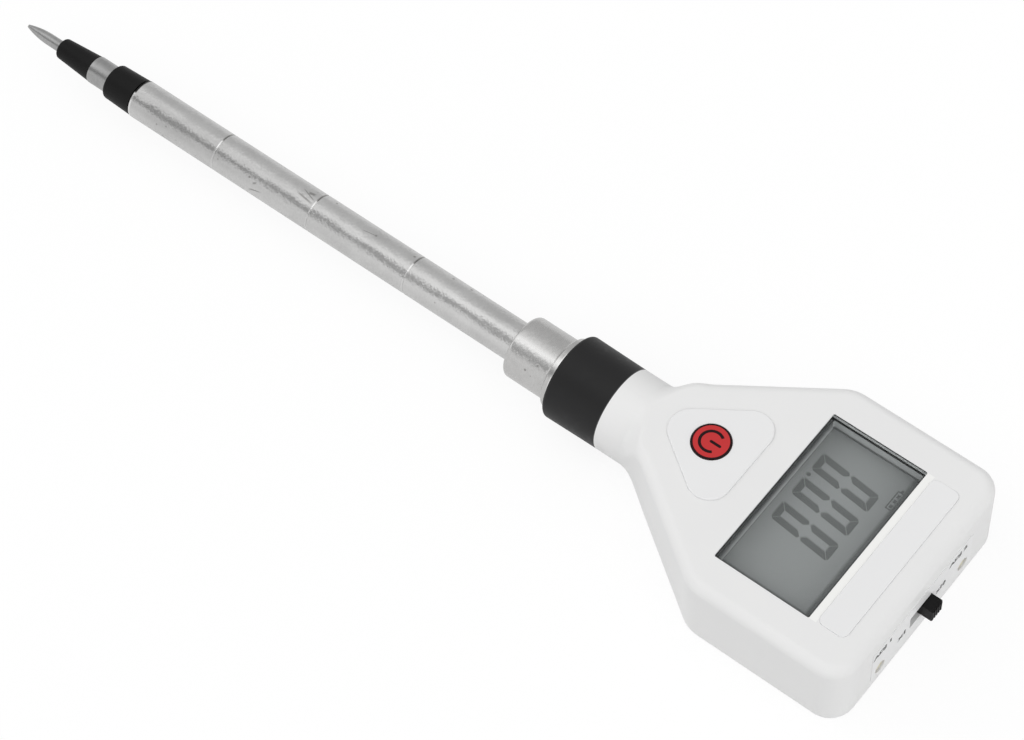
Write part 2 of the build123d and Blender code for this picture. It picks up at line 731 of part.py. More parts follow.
def tact_switch():
    """Key switch body with a well for its plunger."""
    half = TACT_SIZE / 2
    body = block(BUTTON_X - half, BUTTON_X + half, -half, half, BOARD_TOP, TACT_TOP)
    return body - rod_z(BOARD_TOP + TACT_FLOOR, TACT_TOP, PLUNGER_R + RUN_GAP, BUTTON_X)


def tact_plunger():
    """Round plunger between key and switch."""
    return rod_z(TACT_TOP - PLUNGER_SINK, PLUNGER_TOP, PLUNGER_R, BUTTON_X)


def power_button():
    """Round key with a lip that keeps it behind the face."""
    cap = rod_z(PLUNGER_TOP, FACE_Z + PANEL_PROUD + BUTTON_PROUD, BUTTON_R, BUTTON_X)
    cap = fillet(cap.edges().sort_by(Axis.Z)[-1], BUTTON_EDGE_R)
    return cap + rod_z(PLUNGER_TOP, BUTTON_LIP_TOP, BUTTON_R + BUTTON_LIP, BUTTON_X)


def button_panel():
    """Low pad round the key, let into the face, its upper edge rounded."""
    top = FACE_Z + PANEL_PROUD
    panel = plate(panel_plan(GLUE_GAP), FACE_Z - PANEL_SEAT, top)
    panel = fillet(panel.faces().sort_by(Axis.Z)[-1].edges(), PANEL_EDGE_R)
    return panel - rod_z(FACE_Z - PANEL_SEAT, top, BUTTON_R + KEY_GAP, BUTTON_X)


def name_strip():
    """Bare strip let into the face, its upper edge rounded."""
    strip = plate(strip_rect(GLUE_GAP), FACE_Z - STRIP_SEAT, FACE_Z + STRIP_PROUD)
    return fillet(strip.faces().sort_by(Axis.Z)[-1].edges(), STRIP_EDGE_R)


def header_places():
    """Places across the head of the connector pins."""
    first = -(HEADER_PINS - 1) / 2 * HEADER_PITCH
    return [first + i * HEADER_PITCH for i in range(HEADER_PINS)]


def control_board():
    """Upright board behind the end face."""
    half = CONTROL_HALF
    board = block(CONTROL_BACK, CONTROL_FRONT, -half, half, CONTROL_BOTTOM, CONTROL_TOP)
    for y, z in control_boss_places():
        board -= rod_x(CONTROL_BACK, CONTROL_FRONT, BOARD_SCREW_R + PART_GAP, y, z)
    for y in header_places():
        board -= rod_x(CONTROL_BACK, CONTROL_FRONT, HEADER_PIN, y, HEADER_Z)
    return board


def pin_header():
    """Row of pins from the main board through the control board."""
    half = HEADER_PINS * HEADER_PITCH / 2
    strip_x = BOARD_END - HEADER_SIZE
    header = block(strip_x, BOARD_END, -half, half, BOARD_TOP, BOARD_TOP + HEADER_SIZE)
    pin = HEADER_PIN / 2
    for y in header_places():
        tail = CONTROL_FRONT + HEADER_TAIL
        header += block(BOARD_END, tail, y - pin, y + pin, HEADER_Z - pin, HEADER_Z + pin)
    return header


def range_switch():
    """Slide switch can with the slider's chamber and slot."""
    front = CONTROL_FRONT + SWITCH_DEPTH
    chamber_x = front - CAN_WALL - SLIDER_T - 2 * PART_GAP
    can_y = (SWITCH_Y - CAN_HALF_Y, SWITCH_Y + CAN_HALF_Y)
    can_z = (SWITCH_Z - CAN_HALF_Z, SWITCH_Z + CAN_HALF_Z)
    can = block(CONTROL_FRONT, front, *can_y, *can_z)
    chamber_y = (can_y[0] + CAN_WALL, can_y[1] - CAN_WALL)
    chamber_z = (can_z[0] + CAN_WALL, can_z[1] - CAN_WALL)
    can -= block(chamber_x, front - CAN_WALL, *chamber_y, *chamber_z)
    return can - end_plate(knob_slot(), front - CAN_WALL, front)


def range_knob():
    """Sliding knob at one end of its slot, with a ridged end and a slider inside the can."""
    slider_end = CONTROL_FRONT + SWITCH_DEPTH - CAN_WALL - PART_GAP
    half_y = KNOB_W / 2
    half_z = KNOB_H / 2
    tip = HEAD_L + KNOB_OUT
    lever_y = (KNOB_Y - half_y, KNOB_Y + half_y)
    lever_z = (SWITCH_Z - half_z, SWITCH_Z + half_z)
    lever = block(slider_end - SLIDER_T, tip, *lever_y, *lever_z)
    lever = chamfer(lever.faces().sort_by(Axis.X)[-1].edges(), KNOB_EDGE)
    pitch = KNOB_W / (KNOB_RIDGES + 1)
    for i in range(KNOB_RIDGES):
        y = lever_y[0] + (i + 1) * pitch
        groove_y = (y - KNOB_RIDGE_W / 2, y + KNOB_RIDGE_W / 2)
        lever -= block(tip - KNOB_RIDGE_DEPTH, tip, *groove_y, *lever_z)
    slider_y = (lever_y[0] - SLIDER_LIP_Y, lever_y[1] + SLIDER_LIP_Y)
    slider_z = (lever_z[0] - SLIDER_LIP_Z, lever_z[1] + SLIDER_LIP_Z)
    return lever + block(slider_end - SLIDER_T, slider_end, *slider_y, *slider_z)


def trimmer(y):
    """Trimmer body with a round well for its screw."""
    half = TRIM_BODY / 2
    end = CONTROL_FRONT + TRIM_H
    body = block(CONTROL_FRONT, end, y - half, y + half, TRIM_Z - half, TRIM_Z + half)
    return body - rod_x(CONTROL_FRONT + TRIM_FLOOR, end, TRIM_R + RUN_GAP, y, TRIM_Z)


def trim_screw(y):
    """Slotted adjusting screw, a little below the end face."""
    end = HEAD_L - TRIM_SINK
    screw = rod_x(CONTROL_FRONT + TRIM_FLOOR + RUN_GAP, end, TRIM_R, y, TRIM_Z)
    slot_z = (TRIM_Z - TRIM_SLOT_W / 2, TRIM_Z + TRIM_SLOT_W / 2)
    return screw - block(end - TRIM_SLOT_DEPTH, end, y - TRIM_R, y + TRIM_R, *slot_z)


def switch_label():
    """Thin bare label on the end face, open at the slot and the trimmers."""
    sheet = Pos(0, SWITCH_Z) * RectangleRounded(LABEL_L, LABEL_H, LABEL_R)
    return end_plate(sheet, HEAD_L, HEAD_L + LABEL_T) - end_openings(HEAD_L, HEAD_L + LABEL_T)


def screw(radius, length, head_r, head_t):
    """Cross-drive screw: head below the origin, shank upwards."""
    body = rod_z(-head_t, 0, head_r, 0) + rod_z(0, length, radius, 0)
    for turn in (0, 90):
        half = head_r * 2 / 3
        drive = block(-half, half, -DRIVE_W / 2, DRIVE_W / 2, -head_t, DRIVE_DEPTH - head_t)
        body -= Rot(0, 0, turn) * drive
    return body


def case_screws():
    """Screws through the rear cover into the posts."""
    seat = BACK_Z + HEAD_SINK + CASE_HEAD_T
    length = COVER_TOP + CASE_SCREW_L - seat - PART_GAP
    one = screw(CASE_SCREW_R, length, CASE_HEAD_R, CASE_HEAD_T)
    return Compound([Pos(x, y, seat) * one for x, y in post_places()])


def board_screws():
    """Screws that hold the main board up and the control board against the end."""
    one = screw(BOARD_SCREW_R, BOARD_T + BOARD_SCREW_L - PART_GAP, BOARD_HEAD_R, BOARD_HEAD_T)
    screws = [Pos(x, y, BOARD_Z) * one for x, y in boss_places()]
    screws += [Pos(CONTROL_BACK, y, z) * Rot(0, 90, 0) * one for y, z in control_boss_places()]
    return Compound(screws)


def probe_parts():
    """Pieces drawn in the frame of the whole meter."""
    return {
        "tip_electrode": tip_electrode(),
        "tip_insulator": tip_insulator(),
        "ring_electrode": ring_electrode(),
        "ring_insulator": ring_insulator(),
        "probe_tube": probe_tube(),
        "probe_ferrule": probe_ferrule(),
        "grip_collar": grip_collar(),
        "neck_seal": neck_seal(),
        "probe_nut": probe_nut(),
        "tip_lead": lead(CORE_END_X + TIP_STUB_L, 0),
        "ring_lead": lead(RING_SLEEVE_X, LEAD_OFFSET),
    }


def head_parts():
    """Pieces drawn from the front face of the neck."""
    minus_x, plus_x = cell_places()
    return {
        "front_shell": front_shell(),
        "rear_cover": rear_cover(),
        "battery_door": battery_door(),
        "battery_cells": battery_cells(),
        "contact_minus": contact_leaf(minus_x, CONTACT_W, -1, BOARD_Z),
        "contact_plus": contact_leaf(plus_x, CONTACT_W, -1, BOARD_Z),
        "contact_bridge": contact_leaf(BOX_X, CELL_PITCH + CONTACT_W, 1, CELL_Z + CONTACT_FOOT),
        "lcd_window": lcd_window(),
        "lcd_frame": lcd_frame(),
        "lcd_glass": lcd_glass(),
        "zebra_strips": zebra_strips(),
        "main_board": main_board(),
        "tact_switch": tact_switch(),
        "tact_plunger": tact_plunger(),
        "power_button": power_button(),
        "button_panel": button_panel(),
        "name_strip": name_strip(),
        "control_board": control_board(),
        "pin_header": pin_header(),
        "range_switch": range_switch(),
        "range_knob": range_knob(),
        "low_trimmer": trimmer(-TRIM_Y),
        "low_trim_screw": trim_screw(-TRIM_Y),
        "high_trimmer": trimmer(TRIM_Y),
        "high_trim_screw": trim_screw(TRIM_Y),
        "switch_label": switch_label(),
        "case_screws": case_screws(),
        "board_screws": board_screws(),
    }


os.makedirs("parts", exist_ok=True)
for name, shape in probe_parts().items():
    export_step(shape, f"parts/{name}.step")
for name, shape in head_parts().items():
    export_step(Pos(HEAD_X, 0, 0) * shape, f"parts/{name}.step")
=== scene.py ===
import json
import math

import bmesh
import bpy
import numpy as np
from mathutils import Matrix, Vector


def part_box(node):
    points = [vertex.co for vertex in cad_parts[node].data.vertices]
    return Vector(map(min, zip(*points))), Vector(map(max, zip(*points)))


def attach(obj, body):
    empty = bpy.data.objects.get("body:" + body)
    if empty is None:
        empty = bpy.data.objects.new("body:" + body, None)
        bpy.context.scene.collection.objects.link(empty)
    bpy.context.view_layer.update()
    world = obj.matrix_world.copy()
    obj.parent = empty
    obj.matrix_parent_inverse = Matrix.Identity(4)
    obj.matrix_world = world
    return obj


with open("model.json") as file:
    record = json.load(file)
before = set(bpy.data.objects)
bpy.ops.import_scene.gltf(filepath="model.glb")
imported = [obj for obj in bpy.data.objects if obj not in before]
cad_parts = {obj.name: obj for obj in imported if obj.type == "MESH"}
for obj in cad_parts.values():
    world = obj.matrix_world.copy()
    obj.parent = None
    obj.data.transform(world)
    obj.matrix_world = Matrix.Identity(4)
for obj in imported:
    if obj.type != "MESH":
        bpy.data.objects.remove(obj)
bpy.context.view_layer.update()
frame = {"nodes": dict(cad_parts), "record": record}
nodes = frame["nodes"]

# Places read from the frame, in metres
MM = 0.001
BACK_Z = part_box("rear_cover")[0][2]
LCD_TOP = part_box("lcd_glass")[1][2]
WINDOW_LOW, WINDOW_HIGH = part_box("lcd_window")
LABEL_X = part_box("switch_label")[1][0]
CELL_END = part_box("battery_cells")[1][1]
KEY_LOW, KEY_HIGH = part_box("power_button")
KEY_X = (KEY_LOW[0] + KEY_HIGH[0]) / 2
KEY_TOP = KEY_HIGH[2]
TUBE_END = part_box("probe_tube")[0][0]
FLANGE_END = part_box("grip_collar")[0][0]
NECK_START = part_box("front_shell")[0][0]
STRIP_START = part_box("name_strip")[0][0]

# Painted marks, in metres: a pair gives where a mark has not begun and where it is whole

# Ring marks round the tube: painted shade towards +Y, painted glint along the top, faint towards -Y
RING_FIRST = 0.0324  # from the origin towards the tip
RING_PITCH = 0.0297
RING_EDGE = (0.0003, 0.0001)  # from the mark's middle
RING_GLINT_START = (0.0006, -0.0002)
RING_FAINT = (-0.0022, -0.0034)
RING_FAINT_SHARE = 0.25
RING_GLINT = (0.92, 0.918, 0.912)
RING_SHADE = (0.28, 0.276, 0.27)

# Rim at the tube's far end: painted shadow on top, painted glint towards -Y
RIM_EDGE = (0.001, 0.0007)  # from the tube's end
RIM_BRIGHT = (-0.0014, -0.0021)
RIM_GLINT = (0.76, 0.757, 0.75)
RIM_SHADOW = (0.02, 0.02, 0.02)

# Painted reflection in a band along the tube's upper side: brighter at the ferrule, duller far off
DRIFT_LOW = (-0.0049, -0.0041)
DRIFT_HIGH = (-0.0002, -0.0012)
DRIFT_BRIGHT = (-0.065, -0.005)
DRIFT_DULL = (-0.045, -0.105)
DRIFT_SHARE = 0.32
DRIFT_REFLECTION_BRIGHT = (0.8, 0.797, 0.79)
DRIFT_REFLECTION_DULL = (0.33, 0.328, 0.325)

# Scuffs on the tube: place along X and Y, length and width in millimetres, turn from X in degrees
SCUFFS = [
    (-65.1, -0.85, 4.2, 0.42, -7.0),
    (-64.8, 0.45, 3.6, 0.26, -18.0),
    (-64.4, 1.1, 1.6, 0.7, 12.0),
    (-58.3, 2.94, 0.5, 0.5, 0.0),
    (-46.2, 0.65, 3.2, 0.16, 10.0),
    (-44.5, 0.95, 0.5, 0.5, 0.0),
    (-78.5, -3.95, 0.9, 0.3, 20.0),
    (-78.0, -4.78, 3.0, 0.1, 5.0),
]
SCUFF_EDGE = (1.5, 0.5)  # shares of half a scuff's length and width
SCUFF_SOIL = (0.33, 0.326, 0.32)
PIT_SOIL = (0.16, 0.15, 0.14)

# Painted highlight along the ferrule, painted glint on its flange's rear edge, which ends towards +Y
STRIPE_LOW = (-0.0057, -0.0042)
STRIPE_HIGH = (-0.0008, -0.003)
STRIPE_HIGHLIGHT = (0.79, 0.786, 0.78)
FLANGE_EDGE = (0.0007, 0.0005)  # from the collar
FLANGE_BRIGHT = (0.001, -0.001)
FLANGE_GLINT = (0.9, 0.896, 0.89)

# Painted shadow in a line where the neck meets the collar
NECK_LINE = (0.0003, 0.0002)  # from the neck's front
NECK_SHADOW = (0.02, 0.02, 0.02)
# Painted highlight on the face between the window and the long strip
LAND_HIGHLIGHT = (0.872, 0.872, 0.856)

# Display cell: painted pool of light falling off with the square of the distance, painted shade at +X and
# -Y
CENTRE_X = (WINDOW_LOW[0] + WINDOW_HIGH[0]) / 2
CENTRE_Y = -0.008
CENTRE_REACH_X = 0.02
CENTRE_REACH_Y = 0.03
CENTRE_FALL = (0.2, 1.4)  # squares of the share of the reach
WEAVE_SHARE = 0.2
DISPLAY_LIT = (0.29, 0.298, 0.297)
DISPLAY_SHADED = (0.25, 0.258, 0.257)
DISPLAY_SHADE_END = (WINDOW_HIGH[0] - 0.0032, WINDOW_HIGH[0] - 0.00205)
DISPLAY_SHADE_SIDE = (WINDOW_LOW[1] + 0.0031, WINDOW_LOW[1] + 0.0024)
DISPLAY_SHADE_GREY = (0.14, 0.144, 0.144)

# Display frame: walls that grow lighter with the depth under the window, other tones on the far wall at +Y
# The frame itself is dark; its lighter tones lower down and on the far wall are painted reflections and
# shade
WALL_FADE = (0.0004, 0.0036)
WALL_DARK = (0.1, 0.103, 0.103)
WALL_REFLECTION = (0.46, 0.469, 0.469)
FOOT = (LCD_TOP + 0.0006, LCD_TOP + 0.0003)
FOOT_GREY = (0.23, 0.235, 0.235)
FAR_SIDE = (WINDOW_HIGH[1] - 0.0011, WINDOW_HIGH[1] - 0.0009)
FAR_FADE = (0.0005, 0.0008)
FAR_SHADE = (0.015, 0.016, 0.016)
FAR_REFLECTION = (0.49, 0.499, 0.499)
FAR_FOOT = (LCD_TOP + 0.0012, LCD_TOP + 0.0008)
FAR_FOOT_GREY = (0.18, 0.184, 0.184)
# Rim: the frame's own dark, with painted shade on the far side and a painted highlight along its edge at +Y
FRAME_RIM = (0.00035, 0.00025)
FRAME_RIM_GREY = (0.075, 0.077, 0.077)
LIT_EDGE = (WINDOW_HIGH[1] - 0.0003, WINDOW_HIGH[1] - 0.00022)
LIT_HIGHLIGHT = (0.36, 0.366, 0.366)

# Battery cells, the same towards +Y and -Y
BARE_END = (CELL_END - 0.0013, CELL_END - 0.0012)
BAND_START = (0.011, 0.0112)
BAND_END = (0.0172, 0.017)
SLEEVE_DARK = (0.2, 0.21, 0.22)
SLEEVE_LIGHT = (0.28, 0.29, 0.3)
BAND_GREEN = (0.03, 0.2, 0.09)
BARE_METAL = (0.6, 0.6, 0.58)

# Boards and window
BOARD_DARK = (0.012, 0.12, 0.045)
BOARD_LIGHT = (0.02, 0.2, 0.075)
BOARD_RUN = (0.05, 0.3, 0.1)
BOARD_SCALE = 180.0
BOARD_RUN_W = 0.06
WINDOW_TINT = (0.97, 0.98, 0.98, 1.0)
WINDOW_IOR = 1.2

# How much smoother a plastic is where it is rubbed, share of the blotches in the metals' marks, tones and
# roughness that those marks span
RUB_SHINE = 0.1
BLOTCH_SHARE = 0.6
MARK_TONES = (0.3, 0.7)
MARK_ROUGH = 0.05

# Print on the key, in millimetres
PRINT_T = 0.012
KEY_R = 4.7
KEY_EDGE_R = 0.25
KEY_RIM_R = 4.2
SIGN_R = 2.7
SIGN_STROKE = 0.7
SIGN_GAP = 0.9  # half of the circle's opening, in radians
BAR_START, BAR_END = -0.4, 2.65
KEY_EDGE_STEPS = 7
KEY_RIM_STEPS = 96
SIGN_STEPS = 64
BAR_STEPS = 24

# Figures on the display, in millimetres
DIGIT_W = 5.05
DIGIT_H = 16.5
DIGIT_LEAN = 1.7
DIGIT_FOOT = 2.5  # from the window's front edge
DIGIT_LEFTS = (15.5, 7.8, 0.0)
STROKE_W = 1.58
STROKE_CUT = 0.45  # off the outer corners
STROKE_GAP = 0.1
WAIST_GAP = 0.22  # from the middle to the posts' ends
POST_INNER, POST_POINT, POST_OUTER = 0.7, 0.4, 0.25  # slope of a post's end, shares of the stroke
POINT_X = 0.45  # from the figures' foot
POINT_Y = 9.0
POINT_R = 0.5
POINT_STEPS = 16
SHADE_FOOT, DIGIT_LOW, DIGIT_HIGH = 0.002, 0.012, 0.03  # heights over the display
SHADE_X, SHADE_Y = -0.3, 0.3

# Battery sign on the display, in millimetres, its place from the window's front edge
BATTERY_X = 22.3
BATTERY_Y = 17.6
BATTERY_L = 5.4
BATTERY_H = 1.9
BATTERY_LINE = 0.3
CHARGES = 3
CHARGE_L, CHARGE_GAP, TERMINAL_L = 3, 2, 2  # in widths of the line

# Words on the end label: text, start along Y, foot along Z, length, letter height, in millimetres
WORDS = [
    ("ADJ 1", -19.1, 1.2, 6.9, 1.9),
    ("ADJ 2", 10.0, 1.0, 7.2, 1.9),
    ("x1", -9.4, -3.7, 3.0, 1.8),
    ("x10", 5.3, -3.5, 3.9, 1.8),
]
LETTER_WEIGHT = 0.06  # in units of the font, as is the draft's depth
LETTER_DEPTH = 0.01
LETTER_STEPS = 3

# Studio room by the angle about the probe: degrees from straight up towards -Y, level of its light
LIGHT = [
    (-180, 0.75), (-90, 0.45), (-40, 0.53), (-14, 0.83), (0, 1.1), (30, 1.28), (45, 1.22), (60, 0.76),
    (90, 0.28), (95, 0.75), (180, 0.75),
]
# The same for reflections, with a dark gap where the camera stands
MIRROR = [
    (-180, 0.75), (-90, 0.5), (-60, 0.54), (-40, 0.56), (-28, 0.66), (-14, 1.02), (0, 1.25), (20, 1.25),
    (30, 0.42), (38, 0.0), (52, 0.0), (59, 0.92), (72, 1.02), (85, 0.93), (95, 0.75), (180, 0.75),
]
ENDS = (0.45, 0.85)  # the light grows by END_LIFT between these shares of X, towards both ends
END_LIFT = 0.8
ROOM_LEVEL = 0.94
GLOSS_SHARE = 0.3  # share of the plain white surroundings that reflections see
WHITE = (1.0, 1.0, 1.0, 1.0)

# Floor, in metres
FLOOR_HALF = 3.0
FLOOR_GAP = 0.00005
FLOOR_DARK = (0.76, 0.76, 0.76)
FLOOR_LIGHT = (0.78, 0.78, 0.78)
FLOOR_SEEN = (0.99, 0.99, 0.99)  # the floor's colour to the camera
FLOOR_SHARE = 0.88  # share of plain white that the camera sees on the floor
FLOOR_GLOSS = 0.55  # and that reflections see

# The photograph's viewpoint, in metres, degrees and millimetres of lens
EYE = (0.27226, -0.30829, 0.65377)
AZIMUTH, RISE, ROLL = 41.843, 58.238, -4.209
LENS = 116.712
SENSOR = 36.0


# Shader building blocks

def add(tree, kind, fill=None, **settings):
    """One shader node: settings are its attributes, fill gives inputs a value or a socket to link."""
    node = tree.nodes.new("ShaderNode" + kind)
    for name, value in settings.items():
        setattr(node, name, value)
    for name, value in (fill or {}).items():
        socket = node.inputs[name]
        if isinstance(value, bpy.types.NodeSocket):
            tree.links.new(value, socket)
        else:
            socket.default_value = value
    return node


def calc(tree, operation, a, b=0.0, c=0.0, clamp=False):
    """A math node's result."""
    node = add(tree, "Math", {0: a, 1: b, 2: c}, operation=operation, use_clamp=clamp)
    return node.outputs[0]


def step(tree, value, low, high):
    """0 at low and 1 at high, smooth between them."""
    fill = {"Value": value, "From Min": low, "From Max": high}
    return add(tree, "MapRange", fill, interpolation_type="SMOOTHSTEP").outputs[0]


def spread(tree, value, start, end):
    """A value from 0 to 1 spread from start to end."""
    return add(tree, "MapRange", {"Value": value, "To Min": start, "To Max": end}).outputs[0]


def split(tree, vector):
    """The three coordinates of a vector."""
    return add(tree, "SeparateXYZ", {0: vector}).outputs


def noise(tree, vector, scale, detail=2.0, rough=0.5):
    """Smooth noise from 0 to 1."""
    fill = {"Vector": vector, "Scale": scale, "Detail": detail, "Roughness": rough}
    return add(tree, "TexNoise", fill).outputs[0]


def stretched(tree, vector, along, across):
    """Coordinates with one scale along the probe and another square to it."""
    axes = split(tree, vector)
    x = calc(tree, "MULTIPLY", axes[0], along)
    y = calc(tree, "MULTIPLY", axes[1], across)
    z = calc(tree, "MULTIPLY", axes[2], across)
    return add(tree, "CombineXYZ", {0: x, 1: y, 2: z}).outputs[0]


def tint(tree, factor, first, second):
    """Colour between two colours or sockets: a Mix node's inputs 6 and 7 and its output 2."""
    fill = {0: factor}
    for index, value in ((6, first), (7, second)):
        fill[index] = value if isinstance(value, bpy.types.NodeSocket) else (*value, 1.0)
    return add(tree, "Mix", fill, data_type="RGBA").outputs[2]


def new_group(name, inputs, outputs):
    """Empty shader node group: a vector and some numbers go in, numbers come out."""
    group = bpy.data.node_groups.new(name, "ShaderNodeTree")
    group.interface.new_socket("Vector", in_out="INPUT", socket_type="NodeSocketVector")
    for label in inputs:
        group.interface.new_socket(label, in_out="INPUT", socket_type="NodeSocketFloat")
    for label in outputs:
        group.interface.new_socket(label, in_out="OUTPUT", socket_type="NodeSocketFloat")
    return group, group.nodes.new("NodeGroupInput").outputs, group.nodes.new("NodeGroupOutput").inputs


def grain_group():
    """Moulded plastic: slow tone drift, fine spark texture and a few rubbed patches."""
    group, inside, out = new_group("moulded_grain", ["Scale"], ["Tone", "Rub", "Height"])
    place = inside["Vector"]
    slow = noise(group, place, scale=55.0, detail=3.0)
    fine = noise(group, place, scale=inside["Scale"], rough=0.6)
    rubbed = noise(group, place, scale=420.0, detail=4.0, rough=0.65)
    group.links.new(slow, out["Tone"])
    group.links.new(step(group, rubbed, low=0.5, high=0.75), out["Rub"])
    group.links.new(fine, out["Height"])
    return group


def metal_group():
    """Turned metal: short marks across the probe, slow waves, blotches and scattered dark pits."""
    group, inside, out = new_group(
        "turned_metal", ["Along", "Across", "Waves", "Wear"], ["Tone", "Pits", "Height"]
    )
    place = inside["Vector"]
    marks = noise(group, stretched(group, place, inside["Along"], inside["Across"]), scale=1.0)
    waves = noise(group, stretched(group, place, along=130.0, across=230.0), scale=1.0, detail=1.0)
    blotch = noise(group, place, scale=150.0, detail=4.0, rough=0.6)
    pit_field = add(group, "TexVoronoi", {"Vector": place, "Scale": 420.0}).outputs["Distance"]
    pit_here = step(group, noise(group, place, scale=110.0, detail=1.0), low=0.56, high=0.66)
    pits = calc(group, "MULTIPLY", step(group, pit_field, low=0.17, high=0.09), pit_here)
    pits = calc(group, "MULTIPLY", pits, inside["Wear"])
    tone = calc(group, "MULTIPLY", marks, 1 - BLOTCH_SHARE)
    tone = calc(group, "MULTIPLY_ADD", blotch, BLOTCH_SHARE, tone)
    height = calc(group, "MULTIPLY_ADD", waves, inside["Waves"], marks)
    group.links.new(tone, out["Tone"])
    group.links.new(pits, out["Pits"])
    group.links.new(calc(group, "SUBTRACT", height, pits), out["Height"])
    return group


GRAIN = grain_group()
METAL = metal_group()


def start_material(name):
    """New material: its tree, its shader and its object coordinates."""
    material = bpy.data.materials.new(name)
    material.use_nodes = True
    tree = material.node_tree
    shader = tree.nodes["Principled BSDF"]
    place = add(tree, "TexCoord").outputs["Object"]
    return material, tree, shader, place


def use_group(tree, group, **fill):
    """A shared group's outputs inside a material."""
    return add(tree, "Group", fill, node_tree=group).outputs


def relief(tree, shader, height, depth):
    """Bump of a given depth in metres on the shader's normal."""
    bump = add(tree, "Bump", {"Height": height, "Strength": 1.0, "Distance": depth})
    tree.links.new(bump.outputs[0], shader.inputs["Normal"])


# Marks that belong to one piece, each a change of its colour

def head_marks(tree, axes, base):
    """Head with a painted shadow at the front of the neck and a painted highlight beside the window."""
    # Painted shadow in the joint where the neck meets the collar
    line = step(tree, calc(tree, "SUBTRACT", axes[0], NECK_START), *NECK_LINE)
    base = tint(tree, line, base, NECK_SHADOW)
    # Painted highlight on the face between the window and the long strip
    land_highlight = calc(tree, "GREATER_THAN", axes[0], WINDOW_HIGH[0])
    land_highlight = calc(tree, "MULTIPLY", land_highlight, calc(tree, "LESS_THAN", axes[0], STRIP_START))
    beside = calc(tree, "LESS_THAN", calc(tree, "ABSOLUTE", axes[1]), WINDOW_HIGH[1])
    land_highlight = calc(tree, "MULTIPLY", land_highlight, beside)
    land_highlight = calc(tree, "MULTIPLY", land_highlight, calc(tree, "GREATER_THAN", axes[2], 0.0))
    return tint(tree, land_highlight, base, LAND_HIGHLIGHT)


def tube_marks(tree, axes, base):
    """Tube: drifting painted reflection, scuffs, ring marks and end rim with painted shade and glints."""
    # Painted reflection in a band along the top: brighter at the ferrule, duller far off
    band = calc(tree, "MULTIPLY", step(tree, axes[1], *DRIFT_LOW), step(tree, axes[1], *DRIFT_HIGH))
    band = calc(tree, "MULTIPLY", band, DRIFT_SHARE)
    bright = calc(tree, "MULTIPLY", band, step(tree, axes[0], *DRIFT_BRIGHT))
    dull = calc(tree, "MULTIPLY", band, step(tree, axes[0], *DRIFT_DULL))
    base = tint(tree, dull, tint(tree, bright, base, DRIFT_REFLECTION_BRIGHT), DRIFT_REFLECTION_DULL)
    base = tint(tree, scuffs(tree, axes), base, SCUFF_SOIL)
    # Ring marks: painted shade towards +Y, painted glint towards -Y
    past_first = calc(tree, "ADD", axes[0], RING_FIRST)
    ring = step(tree, calc(tree, "PINGPONG", past_first, RING_PITCH / 2), *RING_EDGE)
    ring = calc(tree, "MULTIPLY", ring, calc(tree, "LESS_THAN", past_first, RING_PITCH / 2))
    share = spread(tree, step(tree, axes[1], *RING_FAINT), start=1.0, end=RING_FAINT_SHARE)
    ring = calc(tree, "MULTIPLY", ring, share)
    ring_shade_and_glint = tint(tree, step(tree, axes[1], *RING_GLINT_START), RING_SHADE, RING_GLINT)
    base = tint(tree, ring, base, ring_shade_and_glint)
    # End rim: painted shadow on top, painted glint towards -Y
    rim = step(tree, calc(tree, "SUBTRACT", axes[0], TUBE_END), *RIM_EDGE)
    rim_shade_and_glint = tint(tree, step(tree, axes[1], *RIM_BRIGHT), RIM_SHADOW, RIM_GLINT)
    return tint(tree, rim, base, rim_shade_and_glint)


def scuffs(tree, axes):
    """Mask of short strokes on the tube's upper side."""
    mask = 0.0
    for x, y, length, width, turn in SCUFFS:
        cos = math.cos(math.radians(turn))
        sin = math.sin(math.radians(turn))
        dx = calc(tree, "SUBTRACT", axes[0], x * MM)
        dy = calc(tree, "SUBTRACT", axes[1], y * MM)
        along = calc(tree, "MULTIPLY_ADD", dx, cos, calc(tree, "MULTIPLY", dy, sin))
        across = calc(tree, "MULTIPLY_ADD", dy, cos, calc(tree, "MULTIPLY", dx, -sin))
        along = calc(tree, "DIVIDE", calc(tree, "ABSOLUTE", along), length / 2 * MM)
        across = calc(tree, "DIVIDE", calc(tree, "ABSOLUTE", across), width / 2 * MM)
        stroke = step(tree, calc(tree, "MAXIMUM", along, across), *SCUFF_EDGE)
        mask = calc(tree, "MAXIMUM", mask, stroke)
    return calc(tree, "MULTIPLY", mask, calc(tree, "GREATER_THAN", axes[2], 0.0))


def ferrule_marks(tree, axes, base):
    """Ferrule with a painted highlight stripe and a painted glint on the flange edge."""
    # Painted highlight in a stripe, painted glint on the flange's rear edge
    stripe = calc(tree, "MULTIPLY", step(tree, axes[1], *STRIPE_LOW), step(tree, axes[1], *STRIPE_HIGH))
    base = tint(tree, stripe, base, STRIPE_HIGHLIGHT)
    edge = step(tree, calc(tree, "SUBTRACT", FLANGE_END, axes[0]), *FLANGE_EDGE)
    edge = calc(tree, "MULTIPLY", edge, step(tree, axes[1], *FLANGE_BRIGHT))
    return tint(tree, edge, base, FLANGE_GLINT)


# Materials

